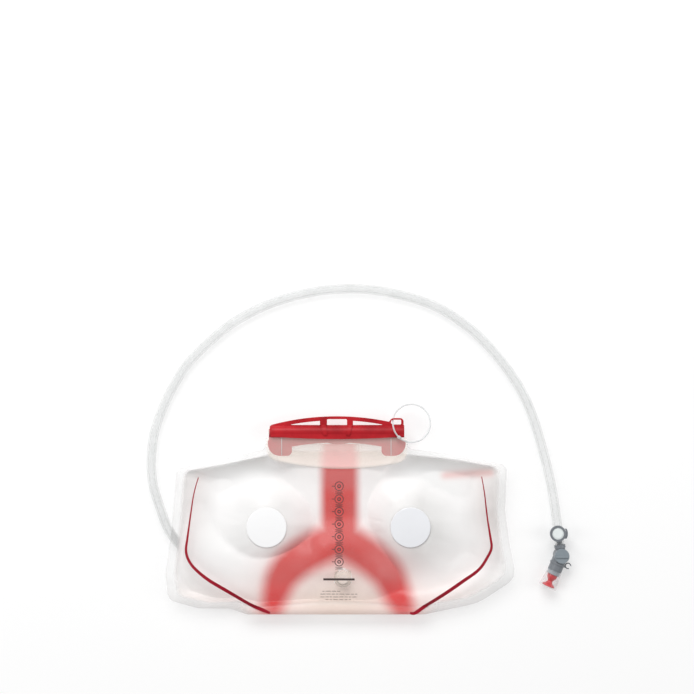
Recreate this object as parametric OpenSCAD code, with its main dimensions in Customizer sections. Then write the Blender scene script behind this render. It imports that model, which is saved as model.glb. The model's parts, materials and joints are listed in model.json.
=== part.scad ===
// Hydration bladder: a welded film reservoir with a fold-over mouth, a slide closure,
// a drink hose and a covered bite valve. Millimetres. The reservoir lies on its back:
// +X to the right, +Y to the filling mouth, +Z away from the surface it lies on.

/* [Reservoir] */
// Rise of the front panel above the edge weld
front_rise = 21; // [12:1:24]
// Thickness of the panel film
film_t = 0.8; // [0.6:0.1:0.9]
// Width of the edge weld at the sides
weld_w = 6.5; // [5:0.5:8]
// Radius of the two baffle welds
baffle_r = 20; // [15:1:22]

/* [Closure] */
// Wall outside the slider's round slot
slider_wall = 1.9; // [1.8:0.1:2.6]
// Thickness of the slider's arched handle
handle_t = 3.2; // [2.8:0.1:4]
// Thickness of the leash ring's strand
leash_d = 1.6; // [1.2:0.1:1.6]

/* [Hose] */
// Outside diameter of the drink hose
hose_od = 9.5; // [9:0.1:9.5]
// Inside diameter of the drink hose
hose_id = 6.4; // [6.3:0.1:6.8]

/* [Bite valve] */
// Height of the grip ridge on the shut-off dial
ridge_h = 1.4; // [0.8:0.1:2]
// Wall of the dust cap
cap_wall = 0.7; // [0.5:0.1:0.7]

/* [View] */
// Node to draw

/* [Hidden] */

// Levels
seam_z = 16;
mid = [0, -15];
neck_y = 66;
fold_y = 78.5;
fold_z = 18.6;
port = [4.5, -68];
port_z = 12;
hose_z = 4.75;
valve_z = 9.25;
valve = [223.4, -46.2];
valve_turn = 23;
clip_at = [220.62, -23.7];

// Reservoir outline: corner x, y and the radius that rounds it
corners = [
  [86, -104.5, 40], [140, -93, 50], [178, -68, 14], [171, -34, 30], [166.5, 0, 60],
  [168.5, 45, 5], [122, 54.5, 60], [70, 61.5, 3], [69.5, neck_y, 0.5], [-73.5, neck_y, 0.5],
  [-74.5, 60.5, 3], [-120, 49.5, 60], [-162, 41, 5], [-167, -20, 90], [-173.5, -66, 30],
  [-170, -90, 8], [-140, -98.5, 30], [-108, -98.5, 12], [-92, -104.5, 12]
];

// Sheet of rings from the weld in to the middle, as fractions of the way out
ring_at = [0.965, 0.92, 0.86, 0.79, 0.71, 0.62, 0.53, 0.44, 0.35, 0.26, 0.17, 0.08];

// Hose route: a point about every 25 mm along the hose's centre
hose_route = [
  [-8.5, -68, 4.75], [-30, -68.5, 4.75], [-52, -69.5, 4.75], [-75, -70, 4.75], [-98, -68.5, 4.75],
  [-120, -63, 4.75], [-140, -53, 4.75], [-156.5, -39.5, 4.75], [-170.5, -22, 4.75],
  [-180, 2, 4.75], [-187, 26, 4.75], [-188.5, 50, 4.75], [-186, 74, 4.75], [-178.5, 98, 4.75],
  [-167, 122.5, 4.75], [-152, 146, 4.75], [-131, 167.5, 4.75], [-106.5, 187.3, 4.75],
  [-76, 203.7, 4.75], [-46.5, 213.8, 4.75], [-16, 220, 4.75], [13.5, 221.7, 4.75],
  [42, 219.5, 4.75], [79, 211, 4.75], [108, 198.5, 4.75],
  [136, 178.5, 4.75], [158, 156, 4.75], [176, 132, 4.75], [188.5, 110, 5], [197.5, 87, 5.5],
  [204.8, 62, 6.4], [210.8, 38, 7.5], [215.6, 14, 8.6], [218.95, -10, 9.25],
  [220.65, -24, 9.25], [222.1, -35.7, 9.25]
];

function clamp01(t) = min(1, max(0, t));
function smooth(t) = let(u = clamp01(t)) u * u * (3 - 2 * u);
function unit(v) = v / norm(v);
function cat(lists) = [for (l = lists, e = l) e];

// One rounded corner as an arc that leaves both sides along their own lines
function corner_arc(a, b, c) =
  let (p = [b[0], b[1]], u = unit([a[0], a[1]] - p), v = unit([c[0], c[1]] - p),
    half = acos(u * v) / 2, d = b[2] / tan(half), m = unit(u + v),
    o = p + m * (b[2] / sin(half)), s = p + u * d, e = p + v * d,
    a0 = atan2(s[1] - o[1], s[0] - o[0]), a1 = atan2(e[1] - o[1], e[0] - o[0]),
    w = a1 - a0, turn = w > 180 ? w - 360 : w < -180 ? w + 360 : w,
    n = max(1, round(abs(turn) * b[2] / 900) + 1))
  [for (i = [0:n]) o + b[2] * [cos(a0 + turn * i / n), sin(a0 + turn * i / n)]];

function rounded(c) = let (n = len(c))
  cat([for (i = [0:n - 1]) corner_arc(c[(i + n - 1) % n], c[i], c[(i + 1) % n])]);

// Long straight runs are divided into steps of at most the given length
function divided(p, step) = let (n = len(p))
  cat([for (i = [0:n - 1])
    let (a = p[i], b = p[(i + 1) % n], k = max(1, ceil(norm(b - a) / step)))
    norm(b - a) < 0.05 ? [] : [for (j = [0:k - 1]) a + (b - a) * j / k]]);

edge = divided(rounded(corners), 13);

// The weld is wider along the bottom edge
function weld_at(p) = let (d = unit(p - mid)) weld_w + 6 * max(0, -d[1]) ;
function inner_at(p) = mid + (p - mid) * (1 - weld_at(p) / norm(p - mid));

// How full the reservoir is at a fraction of the way out, and how flat near its mouth
function pillow(t) = pow(max(0, 1 - pow(t, 2.2)), 0.75);
function neck_fade(x, y, y0) =
  1 - (1 - smooth((abs(x) - 60) / 50)) * smooth((y - y0) / 40);
function baffle_fade(x, y) = let (r = min(norm([x - 72, y + 17.5]), norm([x + 72, y + 17.5])))
  r < 36 ? 0 : smooth((r - 22) / 35);

// Distance to the hose's route under the reservoir
function seg_dist(p, a, b) = let (u = b - a, t = clamp01(((p - a) * u) / (u * u))) norm(p - a - u * t);
function hose_dist(p) = min([for (i = [0:9])
  seg_dist(p, [hose_route[i][0], hose_route[i][1]], [hose_route[i + 1][0], hose_route[i + 1][1]])]);

function front_z(p, t) =
  seam_z + film_t + front_rise * pillow(t) * neck_fade(p[0], p[1], 15) * baffle_fade(p[0], p[1]);
function back_z(p, t) =
  let (full = seam_z - film_t
        - 34 * pillow(t) * neck_fade(p[0], p[1], 30) * baffle_fade(p[0], p[1]),
    g = hose_dist(p), r = norm(p - port),
    groove = 11 * (1 - smooth((g - 16) / 20)),
    seat = port_z * (1 - smooth((r - 30) / 22)))
  max(0, full, groove, seat);

// A closed skin: the outer surface, the inner surface one film away, and the rim between
module skin(front) {
  n = len(edge);
  k = len(ring_at);
  s = front ? 1 : -1;
  flat_o = seam_z + s * film_t;
  ring_pts = cat([for (t = ring_at) [for (p = edge) mid + (inner_at(p) - mid) * t]]);
  ring_t = cat([for (t = ring_at) [for (p = edge) t]]);
  outer = concat(
    [for (p = edge) [p[0], p[1], flat_o]],
    [for (p = edge) let (q = inner_at(p)) [q[0], q[1], flat_o]],
    [for (i = [0:n * k - 1]) let (q = ring_pts[i])
      [q[0], q[1], front ? front_z(q, ring_t[i]) : back_z(q, ring_t[i])]],
    [[mid[0], mid[1], front ? front_z(mid, 0) : back_z(mid, 0)]]
  );
  m = len(outer);
  inner = [for (v = outer) [v[0], v[1], v[2] - s * film_t]];
  bands = [for (b = [0:k]) for (i = [0:n - 1])
    [b * n + i, b * n + (i + 1) % n, (b + 1) * n + (i + 1) % n, (b + 1) * n + i]];
  up = concat(cat([for (q = bands) [[q[0], q[1], q[2]], [q[0], q[2], q[3]]]]),
    [for (i = [0:n - 1]) [(k + 1) * n + i, (k + 1) * n + (i + 1) % n, m - 1]]);
  down = [for (f = up) [f[0] + m, f[2] + m, f[1] + m]];
  rim = cat([for (i = [0:n - 1]) let (j = (i + 1) % n) [[i, i + m, j + m], [i, j + m, j]]]);
  all = concat(up, down, rim);
  polyhedron(points = concat(outer, inner),
    faces = front ? [for (f = all) [f[0], f[2], f[1]]] : all, convexity = 6);
}

module front_panel() color([0.92, 0.91, 0.89, 0.6]) skin(true);

module back_panel() color([0.9, 0.89, 0.87, 0.6])
  difference() {
    skin(false);
    translate([port[0], port[1], port_z - 2]) cylinder(r = 9.1, h = 6, $fn = 64);
  }

module baffle() translate([0, 0, seam_z + film_t])
  rotate_extrude($fn = 72)
    polygon([[0, 0], [baffle_r, 0], [baffle_r, 0.6], [baffle_r - 0.6, 1], [12, 1.4], [0, 1.7]]);

module baffle_left() color([0.97, 0.97, 0.97]) translate([-72, -17.5, 0]) baffle();
module baffle_right() color([0.97, 0.97, 0.97]) translate([72, -17.5, 0]) baffle();

// Folded film: a bulb around the rail with two flat legs, drawn in the Y-Z plane
function bulb_arc(r, leg) = let (a = asin(leg / r))
  [for (i = [0:20]) let (t = -(180 - a) + (360 - 2 * a) * i / 20)
    [fold_y + r * cos(t), fold_z + r * sin(t)]];
function reversed(l) = [for (i = [len(l) - 1:-1:0]) l[i]];

module fold_film(r_out, leg_out, t, x0, x1) {
  translate([x0, 0, 0]) rotate([90, 0, 90])
    linear_extrude(x1 - x0)
      polygon(concat([[72, fold_z - leg_out]], bulb_arc(r_out, leg_out), [[72, fold_z + leg_out]],
        [[72, fold_z + leg_out - t]], reversed(bulb_arc(r_out - t, leg_out - t)),
        [[72, fold_z - leg_out + t]]));
}

// The free flap of the mouth, cut to a shallow bow with rounded lower corners
module flap(z, t) translate([0, 0, z])
  linear_extrude(t)
    intersection() {
      translate([4, 313.5]) circle(r = 272, $fn = 360);
      union() {
        translate([-72, 59]) square([140.5, 13]);
        translate([-63, 30]) square([122.5, 42]);
        translate([-63, 59]) circle(r = 9, $fn = 64);
        translate([59.5, 59]) circle(r = 9, $fn = 64);
      }
    }

module mouth_rear() color([0.93, 0.89, 0.84, 0.7])
  union() {
    fold_film(4.5, 3.4, 0.8, -70, 63);
    translate([-73.5, neck_y, fold_z - 3.4]) cube([142, 72 - neck_y, 0.8]);
    flap(fold_z + 2.6, 0.8);
  }

module mouth_front() color([0.93, 0.89, 0.84, 0.7])
  union() {
    fold_film(3.65, 2.6, 0.8, -70, 63);
    translate([-73.5, neck_y, fold_z - 2.6]) cube([142, 72 - neck_y, 0.8]);
    flap(fold_z + 1.8, 0.8);
  }

// Ear of the rail, from its outer edge at x = 0: a wide round corner outside, a small one inside
module rail_ear(w)
  intersection() {
    square([w, 70]);
    union() {
      translate([12, 66.3]) circle(r = 12, $fn = 72);
      translate([12, 54.3]) square([w - 17, 12]);
      translate([w - 5, 59.3]) circle(r = 5, $fn = 40);
      translate([w - 10, 59.3]) square([10, 8]);
      translate([0, 66.3]) square([w, 3]);
    }
  }

// Stiffening rail inside the fold: a rod, a web arched along its lower edge, a tongue and two ears
module fold_rail() color([0.78, 0.16, 0.2])
  union() {
    translate([-69.5, fold_y, fold_z]) rotate([0, 90, 0]) cylinder(r = 2.7, h = 132, $fn = 40);
    translate([0, 0, fold_z - 0.7])
      linear_extrude(1.4)
        union() {
          difference() {
            translate([-69.5, 63.6]) square([132, 13.9]);
            translate([-1.5, 67.6 - 250]) circle(r = 250, $fn = 360);
          }
          intersection() {
            translate([0, 105.8]) circle(r = 40, $fn = 180);
            translate([-12, 64]) square([24, 6]);
          }
          translate([-70.5, 0]) rail_ear(24);
          translate([67, 0]) mirror([1, 0]) rail_ear(24);
        }
  }

// Outlet port welded under the back panel, with a socket inside the reservoir
module port_base() color([0.9, 0.9, 0.91]) translate([port[0], port[1], 0])
  difference() {
    union() {
      translate([0, 0, port_z - 1.2]) cylinder(r = 18, h = 1.2, $fn = 72);
      translate([0, 0, port_z - 1.2]) cylinder(r = 9, h = 11.2, $fn = 64);
      for (s = [0, 1], y = [[-9.5, 3.7], [5.8, 2.2]])
        mirror([s, 0, 0]) {
          translate([8.2, y[0], 7.9]) cube([1.6, y[1], 3.1]);
          translate([6.8, y[0], 7.9]) cube([2, y[1], 1.2]);
        }
    }
    translate([0, 0, port_z - 3]) cylinder(r = 6.6, h = 11.8, $fn = 64);
    translate([0, 0, 19]) cylinder(r = 3, h = 5, $fn = 40);
  }

module port_poppet() color([0.85, 0.86, 0.88]) translate([port[0], port[1], 0])
  union() {
    translate([0, 0, 14.05]) cylinder(r = 3.4, h = 1.1, $fn = 40);
    translate([0, 0, 15]) cylinder(r = 1.2, h = 8.2, $fn = 32);
    translate([0, 0, 23]) cylinder(r = 4.6, h = 1.2, $fn = 48);
  }

// A tube of round section swept through a list of centres
function frame_dirs(p, closed) = let (n = len(p))
  [for (i = [0:n - 1]) unit(
    closed ? p[(i + 1) % n] - p[(i + n - 1) % n] : p[min(i + 1, n - 1)] - p[max(i - 1, 0)])];
function side_of(d) = unit(cross(d, [0, 0, 1]));

function tube_ring(c, d, r, n) = let (s = side_of(d), u = cross(s, d))
  [for (j = [0:n - 1]) c + r * (s * cos(360 * j / n) + u * sin(360 * j / n))];

module swept(path, r, n, closed = false) {
  d = frame_dirs(path, closed);
  m = len(path);
  pts = cat([for (i = [0:m - 1]) tube_ring(path[i], d[i], r, n)]);
  last = closed ? m - 1 : m - 2;
  side = cat([for (i = [0:last]) for (j = [0:n - 1])
    let (a = i * n + j, b = i * n + (j + 1) % n,
      c = ((i + 1) % m) * n + (j + 1) % n, e = ((i + 1) % m) * n + j)
    [[a, c, b], [a, e, c]]]);
  ends = closed ? [] :
    [[for (j = [0:n - 1]) j], [for (j = [n - 1:-1:0]) (m - 1) * n + j]];
  polyhedron(points = pts, faces = concat(side, ends), convexity = 8);
}

spring_turns = 4;
spring_path = [for (i = [0:14 * spring_turns])
  [port[0] + 2.3 * cos(i * 360 / 14), port[1] + 2.3 * sin(i * 360 / 14),
    15.65 + 4.5 * i / (14 * spring_turns)]];
module port_spring() color([0.75, 0.75, 0.76]) swept(spring_path, 0.35, 6);

module ring(major, minor) rotate_extrude($fn = 64) translate([major, 0]) circle(r = minor, $fn = 24);

module port_seal() color([0.12, 0.12, 0.12])
  translate([port[0], port[1], 12.6]) ring(5.6, 0.95);

// Locking clip: slides out from under the port to free the elbow
module port_clip() color([0.8, 0.2, 0.2]) translate([port[0], port[1], 9.25])
  difference() {
    union() {
      translate([-8, -11, 0]) cube([16, 19, 1.25]);
      translate([-6, -13, -0.65]) cube([12, 2.2, 1.9]);
    }
    translate([0, 0, -1]) cylinder(r = 4.5, h = 4, $fn = 48);
    translate([-4.5, 0, -1]) cube([9, 12, 4]);
  }

// Outlet elbow: stem up into the port, barbed arm out to the hose
module port_elbow() color([0.62, 0.64, 0.66]) translate([port[0], port[1], 0])
  difference() {
    union() {
      translate([0, 0, 0.3]) cylinder(r = 5.6, h = 8.7, $fn = 56);
      translate([0, 0, 8.9]) cylinder(r = 4.4, h = 1.8, $fn = 56);
      translate([0, 0, 10.6]) cylinder(r = 6.5, h = 1, $fn = 56);
      translate([0, 0, 11.5]) cylinder(r = 4.6, h = 2.2, $fn = 56);
      translate([0, 0, 13.6]) cylinder(r = 6.4, h = 0.4, $fn = 56);
      translate([-12.9, 0, hose_z]) rotate([0, 90, 0]) cylinder(r = 4.45, h = 9, $fn = 48);
      translate([-27, 0, hose_z]) rotate([0, 90, 0]) cylinder(r = 2.8, h = 16, $fn = 40);
      for (x = [-26, -22, -18])
        translate([x, 0, hose_z]) rotate([0, -90, 0]) cylinder(r1 = 3.0, r2 = 2.7, h = 1.6, $fn = 40);
    }
    translate([0, 0, 3]) cylinder(r = 2.6, h = 14, $fn = 36);
    translate([-30, 0, hose_z]) rotate([0, 90, 0]) cylinder(r = 1.9, h = 30, $fn = 32);
  }

// Slide closure with an arched handle: a 4 mm rim over three windows
module handle_arc(r) translate([-1.7, 93.8 - 254]) circle(r = r, $fn = 360);

module handle_plan()
  difference() {
    intersection() {
      handle_arc(254);
      translate([-67.3, 83]) square([120.8, 12]);
    }
    intersection() {
      handle_arc(250);
      union() {
        translate([-47.2, 84.6]) square([28.7, 8]);
        translate([14.5, 84.6]) square([29, 8]);
      }
    }
    translate([-10.3, 84]) square([17.6, 7]);
    translate([-11.5, 84]) square([20, 5.8]);
    translate([-10.3, 89.8]) circle(r = 1.2, $fn = 32);
    translate([7.3, 89.8]) circle(r = 1.2, $fn = 32);
  }

// Hole for the leash ring, round at its left end
eyelet = [54.8, 88];
module eyelet_hole() {
  translate(eyelet) circle(r = 2.4, $fn = 48);
  translate([eyelet[0], eyelet[1] - 2.4]) square([62.6 - eyelet[0] - 1, 4.8]);
  translate([61.6, eyelet[1] - 1.4]) square([1, 2.8]);
  for (y = [-1.4, 1.4]) translate([61.6, eyelet[1] + y]) circle(r = 1, $fn = 24);
}

module slider() color([0.72, 0.1, 0.13]) {
  r = 4.8 + slider_wall;
  union() {
    difference() {
      union() {
        translate([-66.5, fold_y, fold_z]) rotate([0, 90, 0]) cylinder(r = r, h = 132, $fn = 72);
        translate([-68.5, fold_y, fold_z]) rotate([0, 90, 0]) cylinder(r1 = r - 1, r2 = r, h = 2.1, $fn = 72);
        intersection() {
          translate([-67.3, 70, fold_z - 6.4]) cube([132.8, 8.5, 12.8]);
          translate([-1.5, 71.4 + 864, 0]) cylinder(r = 864, h = 40, $fn = 720);
        }
        intersection() {
          translate([-30, fold_y, fold_z]) rotate([0, 90, 0]) cylinder(r = r + 1.3, h = 60, $fn = 72);
          translate([0, 0, fold_z]) linear_extrude(10) {
            polygon([[-18.4, 88], [-13.2, 88], [-10.8, 74.6], [-14.9, 74.6]]);
            polygon([[9.9, 88], [14.4, 88], [11.2, 74.6], [7.8, 74.6]]);
          }
        }
      }
      translate([-70, fold_y, fold_z]) rotate([0, 90, 0]) cylinder(r = 4.8, h = 133.5, $fn = 64);
      translate([-70, 66, fold_z - 3.7]) cube([133.5, 12.5, 7.4]);
      translate([50, 66, fold_z - 3.7]) cube([20, 8.2, 7.4]);
    }
    translate([0, 0, fold_z - handle_t / 2]) linear_extrude(handle_t)
      difference() {
        handle_plan();
        eyelet_hole();
      }
    translate([0, 0, fold_z - 1.2]) linear_extrude(2.4)
      difference() {
        union() {
          translate([50.5, 84.2]) square([14.5, 4.8]);
          translate([eyelet[0], 84.2]) square([61.5 - eyelet[0], 7.8]);
          translate(eyelet) circle(r = 3.8, $fn = 48);
          translate([61.5, 88.5]) circle(r = 3.5, $fn = 40);
        }
        eyelet_hole();
      }
  }
}

// Leash ring: one moulded loop that climbs through the slider's eyelet
leash_heights = [
  [0, 22], [45, 17.5], [90, 14.8], [120, 14.2], [150, 14.4], [163, 15], [169, 15.9], [177, 18.6],
  [183, 22], [188, 24.8], [196, 27], [206, 27.6], [230, 27.4], [270, 26], [315, 24.2], [360, 22]
];
function leash_z(a) = let (h = leash_heights,
    i = max([for (j = [0:len(h) - 2]) h[j][0] <= a ? j : 0]),
    u = (a - h[i][0]) / (h[i + 1][0] - h[i][0]))
  h[i][1] + (h[i + 1][1] - h[i][1]) * u;
leash_turns = concat([for (a = [0:10:150]) a], [156, 161, 165, 169, 173, 177, 180, 183, 187, 191, 196, 201],
  [for (a = [208:10:358]) a]);
leash_path = [for (a = leash_turns) [72.9 + 18.7 * cos(a), 87 + 18.7 * sin(a), leash_z(a)]];
module leash_ring() color([0.86, 0.87, 0.88]) swept(leash_path, leash_d / 2, 8, true);

// Hose: hollow, its centre line smoothed through the route points
function spline(p, i, t) = let (n = len(p), a = p[max(i - 1, 0)], b = p[i], c = p[i + 1],
    d = p[min(i + 2, n - 1)])
  0.5 * (2 * b + (c - a) * t + (2 * a - 5 * b + 4 * c - d) * t * t
    + (3 * b - a - 3 * c + d) * t * t * t);
hose_path = concat(cat([for (i = [0:len(hose_route) - 2])
  [for (t = [0, 0.5]) spline(hose_route, i, t)]]), [hose_route[len(hose_route) - 1]]);

module hose() color([0.9, 0.91, 0.91, 0.6]) {
  n = 12;
  m = len(hose_path);
  d = frame_dirs(hose_path, false);
  o = cat([for (i = [0:m - 1]) tube_ring(hose_path[i], d[i], hose_od / 2, n)]);
  b = cat([for (i = [0:m - 1]) tube_ring(hose_path[i], d[i], hose_id / 2, n)]);
  k = m * n;
  quads = cat([for (i = [0:m - 2]) [for (j = [0:n - 1])
    [i * n + j, i * n + (j + 1) % n, (i + 1) * n + (j + 1) % n, (i + 1) * n + j]]]);
  skin_out = cat([for (q = quads) [[q[0], q[2], q[1]], [q[0], q[3], q[2]]]]);
  skin_in = [for (f = skin_out) [f[0] + k, f[2] + k, f[1] + k]];
  start = cat([for (j = [0:n - 1]) let (a = j, c = (j + 1) % n) [[a, c, c + k], [a, c + k, a + k]]]);
  e = (m - 1) * n;
  stop = cat([for (j = [0:n - 1]) let (a = e + j, c = e + (j + 1) % n) [[a, c + k, c], [a, a + k, c + k]]]);
  polyhedron(points = concat(o, b), faces = concat(skin_out, skin_in, start, stop), convexity = 10);
}

// Bite valve assembly: placed at the dial's axis
module at_valve() translate([valve[0], valve[1], valve_z]) children();
// Along the mouthpiece, which leans to the left of straight down
module along_mouth(d) at_valve() rotate([0, 0, -valve_turn]) rotate([90, 0, 0]) translate([0, 0, d]) children();
// Along the hose's last length, towards the hose
module along_hose(d) at_valve() rotate([0, 0, 7]) rotate([-90, 0, 0]) translate([0, 0, d]) children();

module valve_body() color([0.46, 0.49, 0.53])
  difference() {
    union() {
      at_valve() translate([0, 0, -7]) cylinder(r = 7.2, h = 13.4, $fn = 64);
      along_hose(0) cylinder(r = 4.9, h = 10.6, $fn = 48);
      along_hose(7.6) cylinder(r = 5.6, h = 3, $fn = 48);
      along_hose(10) cylinder(r = 2.8, h = 13, $fn = 40);
      along_mouth(0) cylinder(r = 7.1, h = 16.4, $fn = 64);
      along_mouth(15) cylinder(r = 4.4, h = 3.4, $fn = 48);
    }
    at_valve() translate([0, 0, -5]) cylinder(r = 4.25, h = 20, $fn = 64);
    at_valve() translate([0, 0, 6.3]) cylinder(r = 7.8, h = 4, $fn = 72);
    along_hose(0) cylinder(r = 1.9, h = 40, $fn = 32);
    along_mouth(0) cylinder(r = 2.2, h = 30, $fn = 32);
  }

module valve_rotor() color([0.85, 0.86, 0.87])
  difference() {
    union() {
      at_valve() translate([0, 0, -4.9]) cylinder(r = 4.2, h = 8.3, $fn = 64);
      at_valve() translate([0, 0, 3.3]) cylinder(r = 3.3, h = 1.5, $fn = 48);
      at_valve() translate([0, 0, 4.7]) cylinder(r = 4.2, h = 1.8, $fn = 64);
    }
    along_hose(-0.5) cylinder(r = 1.9, h = 10, $fn = 32);
    along_mouth(-0.3) cylinder(r = 2.2, h = 10, $fn = 32);
  }

module valve_seal() color([0.12, 0.12, 0.12]) at_valve() translate([0, 0, 4.05]) ring(3.78, 0.45);

module shutoff_dial() color([0.5, 0.54, 0.58]) at_valve()
  union() {
    translate([0, 0, 6.5]) cylinder(r = 7.4, h = 2.3, $fn = 72);
    translate([0, 0, 8.7]) cylinder(r1 = 7.4, r2 = 6.9, h = 0.5, $fn = 72);
    intersection() {
      translate([-8, -1.3, 9]) cube([16, 2.6, 0.2 + ridge_h]);
      cylinder(r = 6.4, h = 20, $fn = 64);
    }
  }

// Grey spigot that carries the bite valve and the dust cap
module valve_spigot() color([0.6, 0.63, 0.66])
  difference() {
    union() {
      along_mouth(16.45) cylinder(r = 6.6, h = 4.2, $fn = 56);
      along_mouth(20.6) cylinder(r = 3.4, h = 2.6, $fn = 40);
    }
    along_mouth(16) cylinder(r = 4.45, h = 2.5, $fn = 48);
    along_mouth(16) cylinder(r = 2.2, h = 12, $fn = 32);
  }

module bite_valve() color([0.86, 0.12, 0.16]) along_mouth(0)
  difference() {
    rotate_extrude($fn = 56)
      polygon([[3.45, 20.7], [5, 20.7], [5.1, 23], [4.6, 24.6], [2.9, 27], [2.6, 28.4], [3.4, 30],
        [5.6, 31.4], [6.5, 32.4], [6.2, 33], [0, 33.2], [0, 31.6], [1.5, 30.4], [1.5, 26],
        [2.6, 23.6], [3.45, 23.4]]);
    translate([-3, -0.2, 30.8]) cube([6, 0.4, 4]);
  }

module tether_loop() color([0.55, 0.57, 0.6])
  union() {
    along_mouth(8.3)
      difference() {
        cylinder(r = 7.9, h = 1.6, $fn = 64);
        translate([0, 0, -1]) cylinder(r = 7.14, h = 4, $fn = 64);
      }
    difference() {
      union() {
        translate([230.4, -56.8, valve_z]) cylinder(r = 3.2, h = 1.6, center = true, $fn = 40);
        along_mouth(8.3) translate([7.4, -0.8, 0]) cube([1.8, 1.6, 1.6]);
      }
      translate([230.4, -56.8, valve_z]) cylinder(r = 2.2, h = 3, center = true, $fn = 40);
      translate([230.4, -56.8, valve_z]) rotate([0, 0, 30]) translate([-0.6, -5, -2]) cube([3, 4, 4]);
      along_mouth(-3) cylinder(r = 7.14, h = 20, $fn = 64);
    }
  }

module dust_cap() color([0.95, 0.95, 0.96, 0.35]) along_mouth(0)
  rotate_extrude($fn = 72)
    polygon([[6.9, 16.9], [6.9 + cap_wall, 16.9], [7.8, 21], [9.15, 33.6], [8.9, 34.6], [0, 34.8],
      [0, 34.1], [8.2, 33.9], [7.15, 21]]);

// Tube clip: a sleeve on the hose under a round head with a side lever
module clip_body() color([0.5, 0.53, 0.55]) translate([clip_at[0], clip_at[1], valve_z])
  union() {
    rotate([-90, 0, 7])
      difference() {
        translate([0, 0, -4]) cylinder(r = 6.2, h = 8, $fn = 56);
        translate([0, 0, -5]) cylinder(r = 4.82, h = 10, $fn = 56);
      }
    translate([-1.1, 0, 0])
      difference() {
        translate([0, 0, 5.4]) cylinder(r = 8, h = 2.8, $fn = 72);
        translate([0, 0, 6.6]) cylinder(r = 5.9, h = 3, $fn = 64);
      }
    translate([-1.1, 0, 5.6])
      intersection() {
        difference() {
          cylinder(r = 9.9, h = 1.8, $fn = 72);
          translate([0, 0, -1]) cylinder(r = 8.4, h = 4, $fn = 72);
        }
        translate([6, -5, 0]) cube([5, 10, 2]);
      }
    translate([6.2, -1.5, 5.6]) cube([1.6, 3, 1.8]);
  }

module clip_face() color([0.96, 0.98, 0.98])
  translate([clip_at[0] - 1.1, clip_at[1], valve_z + 6.6])
    union() {
      cylinder(r = 5.85, h = 0.7, $fn = 64);
      translate([0, 0, 0.65]) cylinder(r1 = 5.4, r2 = 4.6, h = 0.35, $fn = 64);
    }

front_panel();
back_panel();
baffle_left();
baffle_right();
mouth_front();
mouth_rear();
fold_rail();
port_base();
port_poppet();
port_spring();
port_seal();
port_clip();
port_elbow();
slider();
leash_ring();
hose();
valve_body();
valve_rotor();
valve_seal();
shutoff_dial();
valve_spigot();
bite_valve();
tether_loop();
dust_cap();
clip_body();
clip_face();
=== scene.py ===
import json
import math

import bmesh
import bpy
import numpy as np
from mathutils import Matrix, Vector

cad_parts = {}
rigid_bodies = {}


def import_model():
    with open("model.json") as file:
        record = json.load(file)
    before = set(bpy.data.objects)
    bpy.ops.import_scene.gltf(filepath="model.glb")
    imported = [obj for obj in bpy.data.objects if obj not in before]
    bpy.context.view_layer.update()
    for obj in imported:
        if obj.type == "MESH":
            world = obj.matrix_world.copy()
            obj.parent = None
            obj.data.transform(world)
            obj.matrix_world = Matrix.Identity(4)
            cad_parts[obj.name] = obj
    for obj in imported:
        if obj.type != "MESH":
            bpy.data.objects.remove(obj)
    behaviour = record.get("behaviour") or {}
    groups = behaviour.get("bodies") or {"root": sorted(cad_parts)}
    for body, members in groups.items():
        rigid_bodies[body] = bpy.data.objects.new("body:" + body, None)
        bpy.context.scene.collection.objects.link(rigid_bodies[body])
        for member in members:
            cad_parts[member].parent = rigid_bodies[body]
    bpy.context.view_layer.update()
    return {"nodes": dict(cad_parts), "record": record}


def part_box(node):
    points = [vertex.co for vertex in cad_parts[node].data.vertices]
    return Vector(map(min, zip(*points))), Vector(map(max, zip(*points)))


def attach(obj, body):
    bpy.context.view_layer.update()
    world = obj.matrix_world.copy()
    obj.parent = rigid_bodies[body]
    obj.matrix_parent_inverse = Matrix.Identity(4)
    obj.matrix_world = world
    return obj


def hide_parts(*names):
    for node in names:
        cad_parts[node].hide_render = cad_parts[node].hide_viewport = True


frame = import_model()
MM = 0.001

# ---------------------------------------------------------------- camera
cam_data = bpy.data.cameras.new("camera")
cam_data.lens = 85
cam_data.sensor_width = 36
cam = bpy.data.objects.new("camera", cam_data)
cam.location = (0.0085, 0.163, 1.655)
cam.rotation_euler = (0, 0, 0)
bpy.context.scene.collection.objects.link(cam)
bpy.context.scene.camera = cam
bpy.context.scene.view_settings.view_transform = "Standard"


# ---------------------------------------------------------------- mesh helpers
def mesh_piece(name, verts, faces, body, smooth=True, attributes=None, replaces=()):
    """A mesh in millimetres made into a piece that rides on a body."""
    data = bpy.data.meshes.new(name)
    data.from_pydata([tuple(v) for v in np.asarray(verts, float) * MM], [], faces)
    data.update()
    if smooth:
        data.polygons.foreach_set("use_smooth", [True] * len(data.polygons))
    for key, values in (attributes or {}).items():
        layer = data.attributes.new(key, "FLOAT", "POINT")
        layer.data.foreach_set("value", np.asarray(values, np.float32))
    obj = bpy.data.objects.new(name, data)
    bpy.context.scene.collection.objects.link(obj)
    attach(obj, body)
    if replaces:
        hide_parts(*replaces)
    return obj


def smooth01(t):
    t = np.clip(t, 0, 1)
    return t * t * (3 - 2 * t)


def catmull(points, steps):
    """Points of a smooth line through the given ones, steps to each span."""
    p = np.asarray(points, float)
    out = []
    for i in range(len(p) - 1):
        a, b, c, d = p[max(i - 1, 0)], p[i], p[i + 1], p[min(i + 2, len(p) - 1)]
        for k in range(steps):
            t = k / steps
            out.append(0.5 * (2 * b + (c - a) * t + (2 * a - 5 * b + 4 * c - d) * t * t
                              + (3 * b - a - 3 * c + d) * t ** 3))
    out.append(p[-1])
    return np.array(out)


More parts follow.
